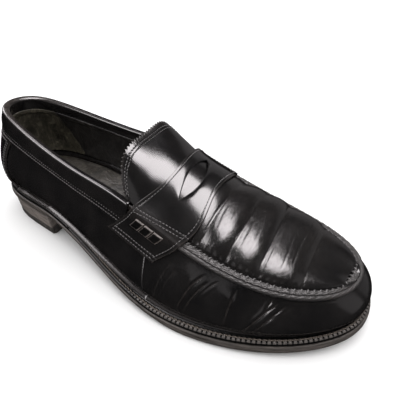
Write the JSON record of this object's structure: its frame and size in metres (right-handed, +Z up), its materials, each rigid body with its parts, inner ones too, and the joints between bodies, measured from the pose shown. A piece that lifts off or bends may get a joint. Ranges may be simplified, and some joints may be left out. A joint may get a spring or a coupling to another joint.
{
  "type": "penny loafer",
  "caption": "Slip-on men's leather shoe with a raised moccasin seam, slotted strap, short tongue and stacked heel.",
  "frame": {"origin": "under the middle of the shoe's box, on the plane that it stands on", "axes": "+X to the toe, +Y to the medial side (the wearer's left, on this right shoe), +Z up"},
  "size_m": [0.3052, 0.1156, 0.091],
  "materials": {
    "polished_calf": "polished black calf",
    "woven_lace": "matt black woven strip",
    "lining_calf": "dark olive-brown lining, satin",
    "lining_dark": "black lining, satin",
    "sole_leather": "grey-brown stained edge",
    "welt_leather": "dark stained, wheeled",
    "stacked_leather": "stacked leather, waxed",
    "heel_rubber": "matt",
    "dark_thread": "waxed thread",
    "steel": "plain",
    "cork": "granular",
    "fibreboard": "matt",
    "foam": "soft",
    "tape": "woven"
  },
  "bodies": {
    "root": {"top_piece": "heel_rubber", "heel_lift_1": "stacked_leather", "heel_lift_2": "stacked_leather", "heel_lift_3": "stacked_leather", "heel_nails": "steel", "outsole": "sole_leather", "welt": "welt_leather", "heel_rand": "welt_leather", "welt_stitching": "dark_thread", "shank": "steel", "cork_filler": "cork", "insole": "fibreboard", "heel_foam_pad": "foam", "sock_lining": "lining_calf", "heel_grip": "lining_calf", "vamp_and_lateral_quarter": "polished_calf", "medial_quarter": "polished_calf", "apron": "polished_calf", "moc_seam_bead": "polished_calf", "apron_stitching": "dark_thread", "toe_puff": "fibreboard", "vamp_lining": "lining_dark", "quarter_lining": "lining_dark", "heel_stiffener": "fibreboard", "counter_cover": "polished_calf", "counter_stitching": "dark_thread", "collar_facing": "polished_calf", "collar_padding": "foam", "topline_tape": "tape", "collar_stitching": "dark_thread", "side_seam_stitching": "dark_thread", "strap": "polished_calf", "strap_lining": "polished_calf", "strap_lace_lateral": "woven_lace", "strap_lace_medial": "woven_lace", "strap_stitching": "dark_thread"},
    "tongue": {"tongue": "polished_calf", "tongue_lining": "lining_dark", "tongue_stitching": "dark_thread"}
  },
  "joints": [
    {"name": "tongue_flex", "type": "hinge", "parent": "root", "child": "tongue", "pos_m": [0.0129, 0.004, 0.0815], "axis": [0, 1, 0], "range_deg": [0, 20], "stiffness_Nm_per_rad": 0.15}
  ]
}
